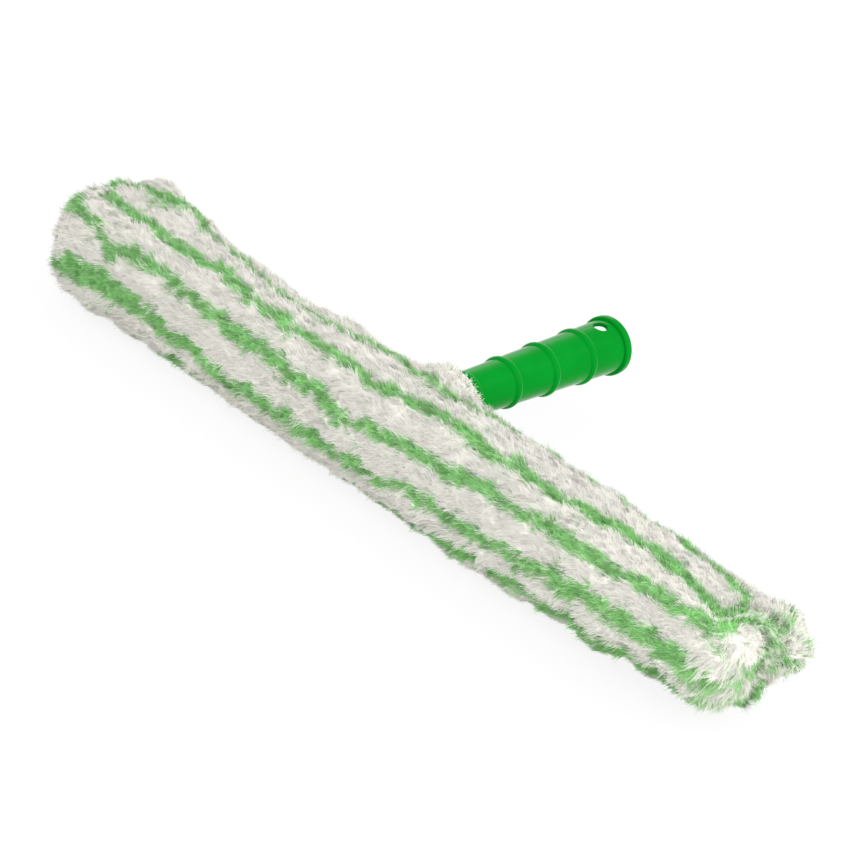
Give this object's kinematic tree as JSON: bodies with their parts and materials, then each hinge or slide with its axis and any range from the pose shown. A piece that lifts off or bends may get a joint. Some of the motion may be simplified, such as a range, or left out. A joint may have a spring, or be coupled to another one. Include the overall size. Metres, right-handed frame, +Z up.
{
  "type": "window scrubber",
  "caption": "T-bar window scrubber: ringed hollow handle on a slotted crossbar, dressed in a removable striped pile sleeve with a neck, a back slit and a hook-and-loop end flap.",
  "frame": {"origin": "middle of the sleeve's flat underside, below the bar's middle", "axes": "+X along the crossbar towards the sewn end of the sleeve, +Y along the handle towards its open end, +Z up"},
  "size_m": [0.4654, 0.1968, 0.0576],
  "materials": {
    "green_plastic": "satin",
    "screw_steel": "satin",
    "pile": "matte",
    "backing_cloth": "matte",
    "binding_tape": "matte",
    "closure_tape": "matte"
  },
  "bodies": {
    "washer": {"crossbar": "green_plastic", "left_end_plug": "green_plastic", "right_end_plug": "green_plastic", "handle": "green_plastic", "saddle_screws": "screw_steel", "screw_spacers": "screw_steel", "sleeve_backing": "backing_cloth", "sleeve_pile": "pile", "mouth_binding": "backing_cloth", "neck_binding": "binding_tape", "slit_bindings": "binding_tape", "end_seam": "backing_cloth", "loop_strips": "closure_tape"},
    "end_flap": {"flap_backing": "backing_cloth", "flap_pile": "pile", "flap_hem": "binding_tape", "hook_strip": "closure_tape"}
  },
  "joints": [
    {"name": "end_flap_hinge", "type": "hinge", "parent": "washer", "child": "end_flap", "pos_m": [-0.216, -0.0338, 0.0318], "axis": [0, 0, 1], "range_deg": [0, 120]}
  ]
}
